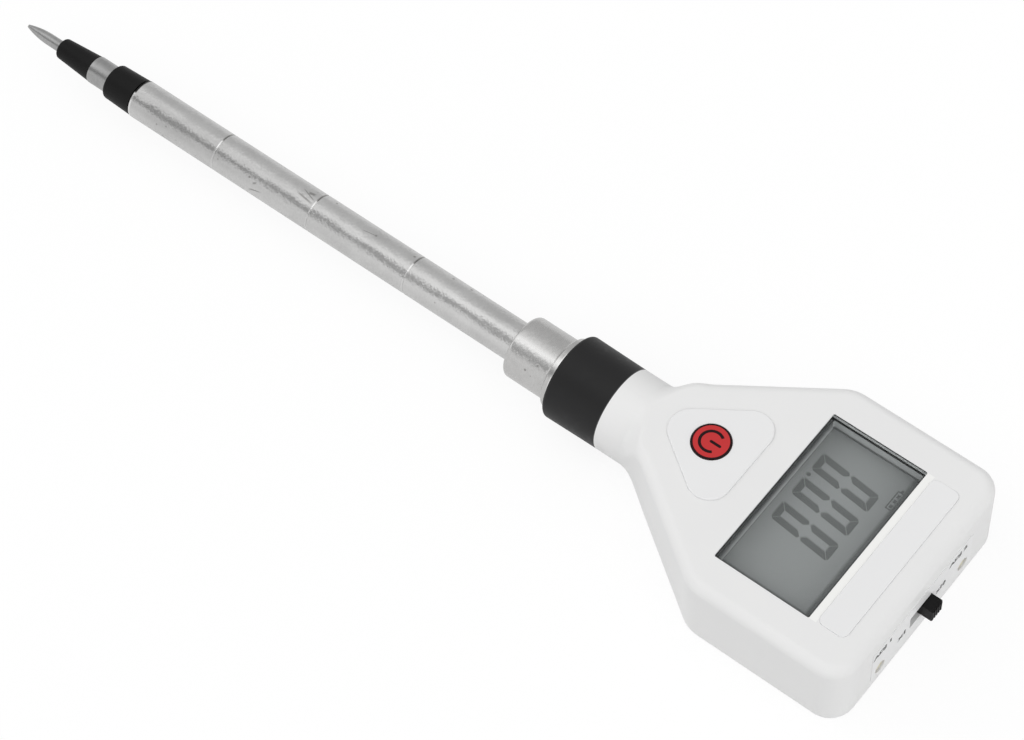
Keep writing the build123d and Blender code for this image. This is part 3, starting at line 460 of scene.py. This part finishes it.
def plastic(name, dark, light, rough, grain=2600.0, depth=0.000006, shine=0.5, marks=None):
    """Moulded plastic between two close tones, and the piece's own marks."""
    material, tree, shader, place = start_material(name)
    grains = use_group(tree, GRAIN, Vector=place, Scale=grain)
    base = tint(tree, grains["Tone"], dark, light)
    if marks:
        base = marks(tree, split(tree, place), base)
    tree.links.new(base, shader.inputs["Base Color"])
    tree.links.new(spread(tree, grains["Rub"], rough, rough - RUB_SHINE), shader.inputs["Roughness"])
    relief(tree, shader, grains["Height"], depth)
    shader.inputs["Specular IOR Level"].default_value = shine
    return material


def metal(name, dark, light, rough, along, across, depth, waves=1.0, wear=0.0, marks=None):
    """Turned metal with marks of a given closeness and worn pits, and the piece's own marks."""
    material, tree, shader, place = start_material(name)
    worked = use_group(tree, METAL, Vector=place, Along=along, Across=across, Waves=waves, Wear=wear)
    base = tint(tree, step(tree, worked["Tone"], *MARK_TONES), dark, light)
    if marks:
        base = marks(tree, split(tree, place), base)
    tree.links.new(tint(tree, worked["Pits"], base, PIT_SOIL), shader.inputs["Base Color"])
    uneven = spread(tree, worked["Tone"], rough + MARK_ROUGH, rough - MARK_ROUGH)
    tree.links.new(uneven, shader.inputs["Roughness"])
    relief(tree, shader, worked["Height"], depth)
    shader.inputs["Metallic"].default_value = 1.0
    return material


def window_material():
    """Clear window that lets light through to the display."""
    material, tree, shader, place = start_material("clear_window")
    grains = use_group(tree, GRAIN, Vector=place, Scale=900.0)
    shader.inputs["Base Color"].default_value = WINDOW_TINT
    shader.inputs["Transmission Weight"].default_value = 1.0
    shader.inputs["IOR"].default_value = WINDOW_IOR
    tree.links.new(spread(tree, grains["Rub"], start=0.02, end=0.05), shader.inputs["Roughness"])
    relief(tree, shader, grains["Tone"], depth=0.000001)
    path = add(tree, "LightPath").outputs
    passing = calc(tree, "MAXIMUM", path["Is Shadow Ray"], path["Is Diffuse Ray"])
    clear = add(tree, "BsdfTransparent", {"Color": WINDOW_TINT}).outputs[0]
    both = add(tree, "MixShader", {0: passing, 1: shader.outputs[0], 2: clear}).outputs[0]
    tree.links.new(both, tree.nodes["Material Output"].inputs["Surface"])
    return material


def display_material():
    """Grey display cell: painted pool of light, fine weave of the reflector, painted shade along two edges.
    """
    material, tree, shader, place = start_material("display_cell")
    axes = split(tree, place)
    # Painted pool of light in the centre, falling off towards the edges
    x = calc(tree, "DIVIDE", calc(tree, "SUBTRACT", axes[0], CENTRE_X), CENTRE_REACH_X)
    y = calc(tree, "DIVIDE", calc(tree, "SUBTRACT", axes[1], CENTRE_Y), CENTRE_REACH_Y)
    far = calc(tree, "ADD", calc(tree, "MULTIPLY", x, x), calc(tree, "MULTIPLY", y, y))
    weave = noise(tree, place, scale=5200.0)
    fall = calc(tree, "MULTIPLY_ADD", weave, WEAVE_SHARE, step(tree, far, *CENTRE_FALL))
    grey = tint(tree, fall, DISPLAY_LIT, DISPLAY_SHADED)
    # Painted shade along the walls at +X and -Y
    seal = calc(tree, "MAXIMUM", step(tree, axes[0], *DISPLAY_SHADE_END), step(tree, axes[1], *DISPLAY_SHADE_SIDE))
    tree.links.new(tint(tree, seal, grey, DISPLAY_SHADE_GREY), shader.inputs["Base Color"])
    tree.links.new(spread(tree, weave, start=0.45, end=0.55), shader.inputs["Roughness"])
    relief(tree, shader, weave, depth=0.000001)
    shader.inputs["Specular IOR Level"].default_value = 0.2
    return material


def frame_material():
    """Display frame: dark rim, painted highlight at +Y, walls lighter downwards in painted reflection."""
    material, tree, shader, place = start_material("dark_frame")
    grains = use_group(tree, GRAIN, Vector=place, Scale=2400.0)
    axes = split(tree, place)
    # Painted reflections and shade by depth under the window and on the far wall
    depth = calc(tree, "SUBTRACT", WINDOW_LOW[2], axes[2])
    walls = tint(tree, step(tree, depth, *WALL_FADE), WALL_DARK, WALL_REFLECTION)
    far_wall = step(tree, axes[1], *FAR_SIDE)
    far_tone = tint(tree, step(tree, depth, *FAR_FADE), FAR_SHADE, FAR_REFLECTION)
    far_tone = tint(tree, step(tree, axes[2], *FAR_FOOT), far_tone, FAR_FOOT_GREY)
    walls = tint(tree, step(tree, axes[2], *FOOT), walls, FOOT_GREY)
    walls = tint(tree, far_wall, walls, far_tone)
    # Rim: its own dark, painted shade on the far side, painted highlight along its edge at +Y
    rim = step(tree, depth, *FRAME_RIM)
    rim_highlight = step(tree, axes[1], *LIT_EDGE)
    rim_shade_and_glint = tint(tree, far_wall, FRAME_RIM_GREY, FAR_SHADE)
    rim_shade_and_glint = tint(tree, rim_highlight, rim_shade_and_glint, LIT_HIGHLIGHT)
    tree.links.new(tint(tree, rim, walls, rim_shade_and_glint), shader.inputs["Base Color"])
    tree.links.new(spread(tree, grains["Rub"], start=0.55, end=0.45), shader.inputs["Roughness"])
    relief(tree, shader, grains["Height"], depth=0.000004)
    shader.inputs["Specular IOR Level"].default_value = 0.25
    return material


def board_material():
    """Green board with lighter runs."""
    material, tree, shader, place = start_material("board_green")
    grains = use_group(tree, GRAIN, Vector=place, Scale=2000.0)
    bricks = {"Vector": place, "Scale": BOARD_SCALE, "Mortar Size": BOARD_RUN_W}
    runs = add(tree, "TexBrick", bricks).outputs["Fac"]
    green = tint(tree, grains["Tone"], BOARD_DARK, BOARD_LIGHT)
    tree.links.new(tint(tree, runs, green, BOARD_RUN), shader.inputs["Base Color"])
    tree.links.new(spread(tree, grains["Rub"], start=0.4, end=0.3), shader.inputs["Roughness"])
    relief(tree, shader, runs, depth=0.00001)
    return material


def cell_material():
    """Plain battery sleeve: grey body with a green band, bare metal ends."""
    material, tree, shader, place = start_material("cell_jacket")
    grains = use_group(tree, GRAIN, Vector=place, Scale=1500.0)
    out = calc(tree, "ABSOLUTE", split(tree, place)[1])
    bare = step(tree, out, *BARE_END)
    band = calc(tree, "MULTIPLY", step(tree, out, *BAND_START), step(tree, out, *BAND_END))
    grey = tint(tree, grains["Tone"], SLEEVE_DARK, SLEEVE_LIGHT)
    sleeve = tint(tree, band, grey, BAND_GREEN)
    tree.links.new(tint(tree, bare, sleeve, BARE_METAL), shader.inputs["Base Color"])
    tree.links.new(spread(tree, bare, start=0.1, end=1.0), shader.inputs["Metallic"])
    tree.links.new(spread(tree, grains["Rub"], start=0.38, end=0.28), shader.inputs["Roughness"])
    relief(tree, shader, grains["Height"], depth=0.000003)
    return material


PLASTICS = {
    "white_shell": dict(dark=(0.78, 0.78, 0.78), light=(0.81, 0.81, 0.806), rough=0.48, marks=head_marks),
    "panel_white": dict(
        dark=(0.785, 0.787, 0.79), light=(0.815, 0.815, 0.817), rough=0.4, grain=3600.0, depth=0.000002
    ),
    "black_plastic": dict(
        dark=(0.0105, 0.0105, 0.011), light=(0.015, 0.015, 0.0155), rough=0.5, shine=0.25
    ),
    "sleeve_black": dict(dark=(0.007, 0.007, 0.007), light=(0.011, 0.011, 0.011), rough=0.5, shine=0.12),
    "trim_cream": dict(dark=(0.62, 0.58, 0.42), light=(0.7, 0.66, 0.5), rough=0.4),
    "seal_rubber": dict(dark=(0.02, 0.02, 0.02), light=(0.032, 0.032, 0.032), rough=0.7, grain=1500.0),
    "lead_jacket": dict(dark=(0.26, 0.03, 0.025), light=(0.34, 0.05, 0.04), rough=0.5, grain=1500.0),
    "key_red": dict(
        dark=(0.49, 0.022, 0.024), light=(0.55, 0.029, 0.031), rough=0.42,
        grain=3000.0, depth=0.000003, shine=0.3,
    ),
    "switch_black": dict(dark=(0.03, 0.03, 0.031), light=(0.045, 0.045, 0.046), rough=0.5, grain=2000.0),
    "trimmer_blue": dict(dark=(0.02, 0.085, 0.34), light=(0.035, 0.12, 0.42), rough=0.42, grain=2000.0),
    "display_ink": dict(
        dark=(0.13, 0.135, 0.134), light=(0.142, 0.147, 0.146), rough=0.5,
        grain=5000.0, depth=0.000001, shine=0.2,
    ),
    "display_shade": dict(
        dark=(0.222, 0.228, 0.227), light=(0.232, 0.238, 0.237), rough=0.5,
        grain=5000.0, depth=0.000001, shine=0.2,
    ),
    "key_ink": dict(
        dark=(0.013, 0.004, 0.005), light=(0.018, 0.006, 0.007), rough=0.45,
        grain=3000.0, depth=0.000003, shine=0.12,
    ),
    "label_ink": dict(dark=(0.035, 0.035, 0.036), light=(0.05, 0.05, 0.051), rough=0.5, grain=3000.0),
}
METALS = {
    "tube_alloy": dict(
        dark=(0.545, 0.543, 0.539), light=(0.625, 0.623, 0.618), rough=0.29,
        along=2800.0, across=1300.0, depth=0.00014, waves=2.4, wear=0.55, marks=tube_marks,
    ),
    "ferrule_alloy": dict(
        dark=(0.51, 0.506, 0.5), light=(0.58, 0.576, 0.57), rough=0.27,
        along=1800.0, across=900.0, depth=0.00006, wear=0.6, marks=ferrule_marks,
    ),
    "electrode_steel": dict(
        dark=(0.34, 0.34, 0.339), light=(0.42, 0.42, 0.418), rough=0.33,
        along=1800.0, across=700.0, depth=0.00004, wear=0.3,
    ),
    "plain_steel": dict(
        dark=(0.5, 0.5, 0.49), light=(0.64, 0.64, 0.63), rough=0.3,
        along=900.0, across=900.0, depth=0.000004,
    ),
    "plain_brass": dict(
        dark=(0.58, 0.41, 0.16), light=(0.74, 0.55, 0.24), rough=0.3,
        along=1200.0, across=300.0, depth=0.000004,
    ),
}
MATERIALS = {
    **{name: plastic(name, **look) for name, look in PLASTICS.items()},
    **{name: metal(name, **look) for name, look in METALS.items()},
    "clear_window": window_material(),
    "display_cell": display_material(),
    "dark_frame": frame_material(),
    "board_green": board_material(),
    "cell_jacket": cell_material(),
}

# Nodes with a material of their own; the others take the one named like their slot
FINER = {
    "probe_ferrule": "ferrule_alloy",
    "tip_insulator": "sleeve_black",
    "ring_insulator": "sleeve_black",
    "range_knob": "sleeve_black",
    "tact_switch": "switch_black",
    "tact_plunger": "switch_black",
    "pin_header": "switch_black",
}

for entry in frame["record"]["subparts"]:
    name = entry["node"]
    nodes[name].data.materials.clear()
    nodes[name].data.materials.append(MATERIALS[FINER.get(name, entry["material_slot"])])


# Printed signs, each a thin closed solid

def skin(rings, closed=False):
    """Points and faces of a tube: a grid of rings, quads between neighbours, end faces unless closed."""
    count, around = rings.shape[:2]
    index = np.arange(count * around).reshape(count, around)
    here = index if closed else index[:-1]
    ahead = np.roll(index, -1, 0) if closed else index[1:]
    quads = np.stack([here, np.roll(here, -1, 1), np.roll(ahead, -1, 1), ahead], -1)
    faces = quads.reshape(-1, 4).tolist()
    if not closed:
        faces += [index[0].tolist(), index[-1].tolist()]
    return rings.reshape(-1, 3), faces


def prism(outline, low, high):
    """A plan outline carried straight up from one height to another."""
    foot = np.column_stack([outline, np.full(len(outline), low)])
    return skin(np.stack([foot, foot + (0, 0, high - low)]))


def round_piece(profile, turns, closed):
    """A profile of radius and height carried round the key's centre through an array of angles."""
    radius, height = profile.T
    x = KEY_X + np.outer(np.cos(turns), radius)
    y = np.outer(np.sin(turns), radius)
    return skin(np.stack([x, y, np.broadcast_to(height, x.shape)], -1), closed)


def whole_turn(steps):
    """Equal angles once round."""
    return np.linspace(0, 2 * math.pi, steps, endpoint=False)


def printed(name, solids, material, body):
    """One piece from several solids, its faces turned outwards, riding on a body."""
    starts = np.cumsum([0] + [len(points) for points, _ in solids])
    points = np.concatenate([points for points, _ in solids])
    faces = [[i + start for i in face] for start, (_, part) in zip(starts, solids) for face in part]
    mesh = bpy.data.meshes.new(name)
    mesh.from_pydata(points.tolist(), [], faces)
    shell = bmesh.new()
    shell.from_mesh(mesh)
    bmesh.ops.recalc_face_normals(shell, faces=shell.faces)
    shell.to_mesh(mesh)
    shell.free()
    dress(name, mesh, material, body)


def dress(name, mesh, material, body):
    """Object of a finished mesh with its material and body."""
    piece = bpy.data.objects.new(name, mesh)
    bpy.context.scene.collection.objects.link(piece)
    mesh.materials.clear()
    mesh.materials.append(MATERIALS[material])
    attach(piece, body)


def stroke_outlines():
    """Six strokes of a nought, six corners each: two bars and four posts, mitred where they meet.

    The lower bar and the lower left post are drawn. The others are their mirror images across the nought's
    middle lines.
    """
    w, h, s, cut, gap = DIGIT_W, DIGIT_H, STROKE_W, STROKE_CUT, STROKE_GAP
    waist = h / 2 - WAIST_GAP
    bar = np.array([
        (cut + gap, 0), (w - cut - gap, 0), (w - cut / 2 - gap, cut / 2),
        (w - s - gap, s), (s + gap, s), (cut / 2 + gap, cut / 2),
    ])
    post = np.array([
        (0, cut + gap), (cut / 2, cut / 2 + gap), (s, s + gap),
        (s, waist - s * POST_INNER), (s * POST_POINT, waist), (0, waist - s * POST_OUTER),
    ])
    flip_up, top = (1, -1), (0, h)
    flip_over, right = (-1, 1), (w, 0)
    strokes = [bar, post, post * flip_over + right]
    return np.array(strokes + [stroke * flip_up + top for stroke in strokes])


def nought_plans(shift_x=0.0, shift_y=0.0):
    """Plans of three leaning noughts and a point, read from +Y to -Y, tops towards the end face.

    A nought's height runs along +X and its width along -Y. The lean moves each corner along -Y in step with
    its height.
    """
    across, up = np.moveaxis(stroke_outlines(), -1, 0)
    foot = WINDOW_LOW[0] / MM + DIGIT_FOOT + shift_x
    lean = up * DIGIT_LEAN / DIGIT_H
    plans = [np.stack([foot + up, left + shift_y - across - lean], -1) for left in DIGIT_LEFTS]
    turns = whole_turn(POINT_STEPS)
    point_x = foot + POINT_X + POINT_R * np.cos(turns)
    point = np.column_stack([point_x, POINT_Y + POINT_R * np.sin(turns)])
    return [plan * MM for plan in np.concatenate(plans)] + [point * MM]


def box_plan(x0, x1, y0, y1):
    """Plan of a rectangle, measured from the window's front edge."""
    foot = WINDOW_LOW[0] / MM
    return np.array([(foot + x0, y0), (foot + x1, y0), (foot + x1, y1), (foot + x0, y1)]) * MM


def battery_sign_plans():
    """Plans of a plain battery sign: four border lines, a terminal and a row of charge bars."""
    x0, x1 = BATTERY_X - BATTERY_H / 2, BATTERY_X + BATTERY_H / 2
    y0, y1 = BATTERY_Y - BATTERY_L, BATTERY_Y
    line = BATTERY_LINE
    length, gap = CHARGE_L * line, CHARGE_GAP * line
    plans = [
        box_plan(x0, x0 + line, y0, y1),
        box_plan(x1 - line, x1, y0, y1),
        box_plan(x0 + line, x1 - line, y0, y0 + line),
        box_plan(x0 + line, x1 - line, y1 - line, y1),
        box_plan(BATTERY_X - line, BATTERY_X + line, y1, y1 + TERMINAL_L * line),
    ]
    for start in y0 + gap + np.arange(CHARGES) * (length + gap):
        plans.append(box_plan(x0 + gap, x1 - gap, start, start + length))
    return plans


def display_print():
    """Figures and battery sign on the display, over a faint shadow of the figures."""
    low, middle, high = (LCD_TOP + lift * MM for lift in (SHADE_FOOT, DIGIT_LOW, DIGIT_HIGH))
    figures = [prism(plan, middle, high) for plan in nought_plans()]
    shadows = [prism(plan, low, middle) for plan in nought_plans(SHADE_X, SHADE_Y)]
    signs = [prism(plan, low, high) for plan in battery_sign_plans()]
    printed("display_digits", figures, "display_ink", "meter")
    printed("display_digit_shade", shadows, "display_shade", "meter")
    printed("display_battery_sign", signs, "display_ink", "meter")


def key_print():
    """Black ring over the key's edge, a circle open towards the display and a bar through the opening.

    The ring is a line along the key's rounded edge, PRINT_T to both sides of it, turned once round. The
    circle is a rectangle between two radii, turned from one side of the gap to the other. The bar is a
    straight stroke with half-round ends.
    """
    top = KEY_TOP / MM
    low, high = top - PRINT_T, top + PRINT_T
    bend = np.linspace(math.pi / 2, 0, KEY_EDGE_STEPS)

    def edge(lift):
        """Line over the key's rounded edge, some way off its surface."""
        arc = np.column_stack([np.cos(bend), np.sin(bend)]) * (KEY_EDGE_R + lift)
        arc += (KEY_R - KEY_EDGE_R, top - KEY_EDGE_R)
        return np.vstack([(KEY_RIM_R, top + lift), arc, (KEY_R + lift, top - 2 * KEY_EDGE_R)])

    rim = np.vstack([edge(PRINT_T), edge(-PRINT_T)[::-1]]) * MM
    half_stroke = SIGN_STROKE / 2
    inner, outer = SIGN_R - half_stroke, SIGN_R + half_stroke
    band = np.array([(inner, low), (outer, low), (outer, high), (inner, high)]) * MM
    opened = np.linspace(SIGN_GAP, 2 * math.pi - SIGN_GAP, SIGN_STEPS)
    turns = whole_turn(BAR_STEPS)
    half_bar = (BAR_END - BAR_START - SIGN_STROKE) / 2
    bar_x = KEY_X / MM + (BAR_START + BAR_END) / 2 + np.sign(np.cos(turns)) * half_bar
    bar = np.column_stack([bar_x + half_stroke * np.cos(turns), half_stroke * np.sin(turns)])
    solids = [
        round_piece(rim, whole_turn(KEY_RIM_STEPS), True),
        round_piece(band, opened, False),
        prism(bar * MM, low * MM, high * MM),
    ]
    printed("key_print", solids, "key_ink", "key")


def label_words():
    """Plain words on the end label: letters upright, read towards +Y, as thin solids.

    Each word is drafted in the built-in font and stretched to its length, height and thickness.
    """
    for count, (text, y, z, length, height) in enumerate(WORDS, 1):
        curve = bpy.data.curves.new("word", "FONT")
        curve.body = text
        curve.extrude = LETTER_DEPTH
        curve.offset = LETTER_WEIGHT
        curve.resolution_u = LETTER_STEPS
        draft = bpy.data.objects.new("word", curve)
        mesh = bpy.data.meshes.new_from_object(draft)
        bpy.data.objects.remove(draft)
        place = np.empty(len(mesh.vertices) * 3)
        mesh.vertices.foreach_get("co", place)
        across, up, out = place.reshape(-1, 3).T
        across = (across - across.min()) / np.ptp(across) * length + y
        up = (up - up.min()) / np.ptp(up) * height + z
        out = (out - out.min()) / np.ptp(out) * PRINT_T
        place = np.column_stack([LABEL_X + out * MM, across * MM, up * MM])
        mesh.vertices.foreach_set("co", place.ravel())
        mesh.update()
        dress(f"label_word_{count}", mesh, "label_ink", "meter")


display_print()
key_print()
label_words()


# Stage, light and camera

def floor():
    """Pale floor that keeps a faint shadow, almost white to the camera, half white in reflections."""
    half, z = FLOOR_HALF, BACK_Z - FLOOR_GAP
    corners = [(-half, -half, z), (half, -half, z), (half, half, z), (-half, half, z)]
    mesh = bpy.data.meshes.new("floor")
    mesh.from_pydata(corners, [], [(0, 1, 2, 3)])
    plane = bpy.data.objects.new("floor", mesh)
    bpy.context.scene.collection.objects.link(plane)
    material, tree, shader, place = start_material("floor_pale")
    path = add(tree, "LightPath").outputs
    seen = calc(tree, "MAXIMUM", path["Is Camera Ray"], path["Is Transmission Ray"])
    speck = noise(tree, place, scale=30.0)
    tone = tint(tree, speck, FLOOR_DARK, FLOOR_LIGHT)
    tree.links.new(tint(tree, seen, tone, FLOOR_SEEN), shader.inputs["Base Color"])
    shader.inputs["Roughness"].default_value = 0.8
    shader.inputs["Specular IOR Level"].default_value = 0.1
    white = add(tree, "Emission", {"Color": WHITE, "Strength": 1.0}).outputs[0]
    mirrored = calc(tree, "MULTIPLY", path["Is Glossy Ray"], FLOOR_GLOSS)
    share = calc(tree, "MAXIMUM", calc(tree, "MULTIPLY", seen, FLOOR_SHARE), mirrored)
    both = add(tree, "MixShader", {0: share, 1: shader.outputs[0], 2: white}).outputs[0]
    tree.links.new(both, tree.nodes["Material Output"].inputs["Surface"])
    mesh.materials.append(material)


def room_ramp(tree, share, table):
    """Level by the angle about the probe, from one of the room's tables."""
    ramp = add(tree, "ValToRGB", {0: share})
    elements = ramp.color_ramp.elements
    while len(elements) < len(table):
        elements.new(0.5)
    for element, (degrees, level) in zip(elements, table):
        element.position = degrees / 360 + 0.5
        element.color = (level, level, level, 1.0)
    return ramp.outputs[0]


def studio_world():
    """White room: bright overhead and at both ends, dimmer far side, a dark gap in reflections."""
    world = bpy.data.worlds.new("studio")
    bpy.context.scene.world = world
    world.use_nodes = True
    tree = world.node_tree
    tree.nodes.clear()
    axes = split(tree, add(tree, "TexCoord").outputs["Generated"])
    angle = calc(tree, "ARCTAN2", calc(tree, "MULTIPLY", axes[1], -1.0), axes[2])
    share = calc(tree, "ADD", calc(tree, "DIVIDE", angle, 2 * math.pi), 0.5)
    ends = step(tree, calc(tree, "ABSOLUTE", axes[0]), *ENDS)
    level = calc(tree, "MULTIPLY_ADD", ends, ROOM_LEVEL * END_LIFT, ROOM_LEVEL)
    light = add(tree, "Background", {"Color": room_ramp(tree, share, LIGHT), "Strength": level}).outputs[0]
    shine = {"Color": room_ramp(tree, share, MIRROR), "Strength": ROOM_LEVEL}
    mirror = add(tree, "Background", shine).outputs[0]
    path = add(tree, "LightPath").outputs
    room = add(tree, "MixShader", {0: path["Is Glossy Ray"], 1: light, 2: mirror}).outputs[0]
    plain = add(tree, "Background", {"Color": WHITE, "Strength": 1.0}).outputs[0]
    seen = calc(tree, "MAXIMUM", path["Is Camera Ray"], path["Is Transmission Ray"])
    seen = calc(tree, "MULTIPLY_ADD", path["Is Glossy Ray"], GLOSS_SHARE, seen, clamp=True)
    both = add(tree, "MixShader", {0: seen, 1: room, 2: plain}).outputs[0]
    out = add(tree, "OutputWorld", {"Surface": both})
    out.is_active_output = True


def camera():
    """The photograph's viewpoint."""
    azimuth, rise, roll = (math.radians(angle) for angle in (AZIMUTH, RISE, ROLL))
    back = Vector((math.sin(azimuth) * math.cos(rise), -math.cos(azimuth) * math.cos(rise), math.sin(rise)))
    right = Vector((math.cos(azimuth), math.sin(azimuth), 0))
    up = back.cross(right)
    across = right * math.cos(roll) + up * math.sin(roll)
    upright = up * math.cos(roll) - right * math.sin(roll)
    data = bpy.data.cameras.new("camera")
    data.sensor_width = SENSOR
    data.lens = LENS
    eye = bpy.data.objects.new("camera", data)
    bpy.context.scene.collection.objects.link(eye)
    place = Matrix((across, upright, back)).transposed().to_4x4()
    place.translation = Vector(EYE)
    eye.matrix_world = place
    bpy.context.scene.camera = eye


floor()
studio_world()
camera()
bpy.context.scene.view_settings.view_transform = "Standard"
